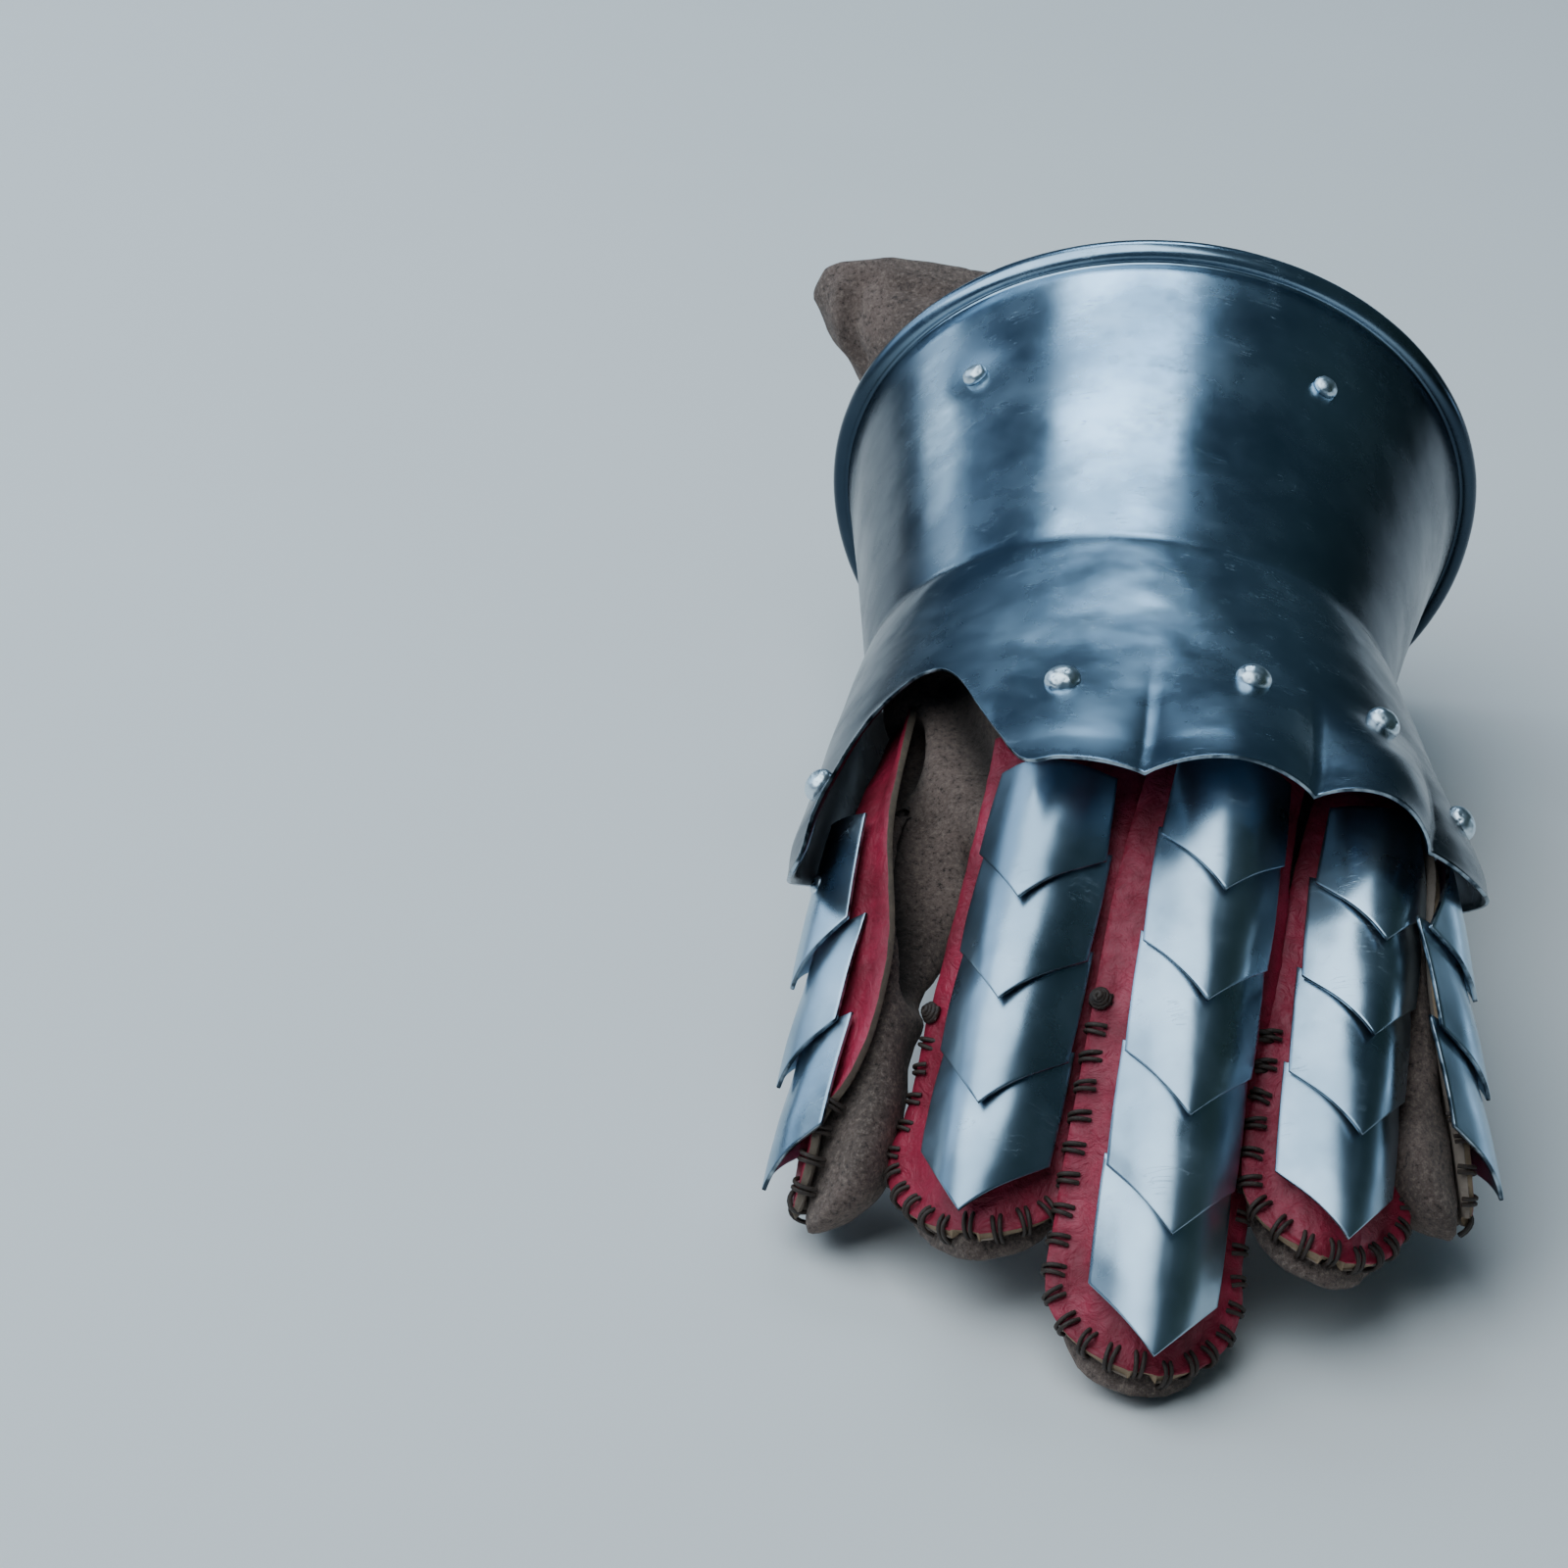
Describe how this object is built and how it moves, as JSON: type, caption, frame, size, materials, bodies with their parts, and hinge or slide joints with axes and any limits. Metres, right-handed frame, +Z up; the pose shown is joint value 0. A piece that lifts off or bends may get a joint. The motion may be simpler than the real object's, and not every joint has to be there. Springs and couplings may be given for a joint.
{
  "type": "armoured gauntlet",
  "caption": "Left hourglass gauntlet: flared steel cuff and hand plate, pointed finger lames on red leather strips stitched to a suede glove.",
  "frame": {"origin": "centre of the bounding box at floor level, with the gauntlet lying palm down", "axes": "+Y from the fingertips to the open cuff, +Z up out of the back of the hand, +X towards the little finger"},
  "size_m": [0.1544, 0.297, 0.1239],
  "materials": {
    "plate_steel": "polished, with scratches and pits",
    "lame_steel": "polished",
    "rivet_steel": "satin, hammered",
    "red_leather": "smooth crimson grain with raw tan edges",
    "suede": "brown suede"
  },
  "bodies": {
    "root": {"hourglass_plate": "plate_steel", "lame_index_1": "lame_steel", "lame_index_2": "lame_steel", "lame_index_3": "lame_steel", "lame_index_4": "lame_steel", "lame_middle_1": "lame_steel", "lame_middle_2": "lame_steel", "lame_middle_3": "lame_steel", "lame_middle_4": "lame_steel", "lame_middle_5": "lame_steel", "lame_ring_1": "lame_steel", "lame_ring_2": "lame_steel", "lame_ring_3": "lame_steel", "lame_ring_4": "lame_steel", "lame_little_1": "lame_steel", "lame_little_2": "lame_steel", "lame_little_3": "lame_steel", "lame_thumb_1": "lame_steel", "lame_thumb_2": "lame_steel", "lame_thumb_3": "lame_steel", "rivet_knuckle_index": "rivet_steel", "rivet_knuckle_middle": "rivet_steel", "rivet_knuckle_ring": "rivet_steel", "rivet_knuckle_little": "rivet_steel", "rivet_wing": "rivet_steel", "rivet_cuff_thumb_side": "rivet_steel", "rivet_cuff_outer_side": "rivet_steel", "rivet_thumb_lame": "rivet_steel", "strip_index": "red_leather", "strip_middle": "red_leather", "strip_ring": "red_leather", "strip_little": "red_leather", "strip_thumb": "red_leather", "suede_glove": "suede"}
  },
  "joints": []
}
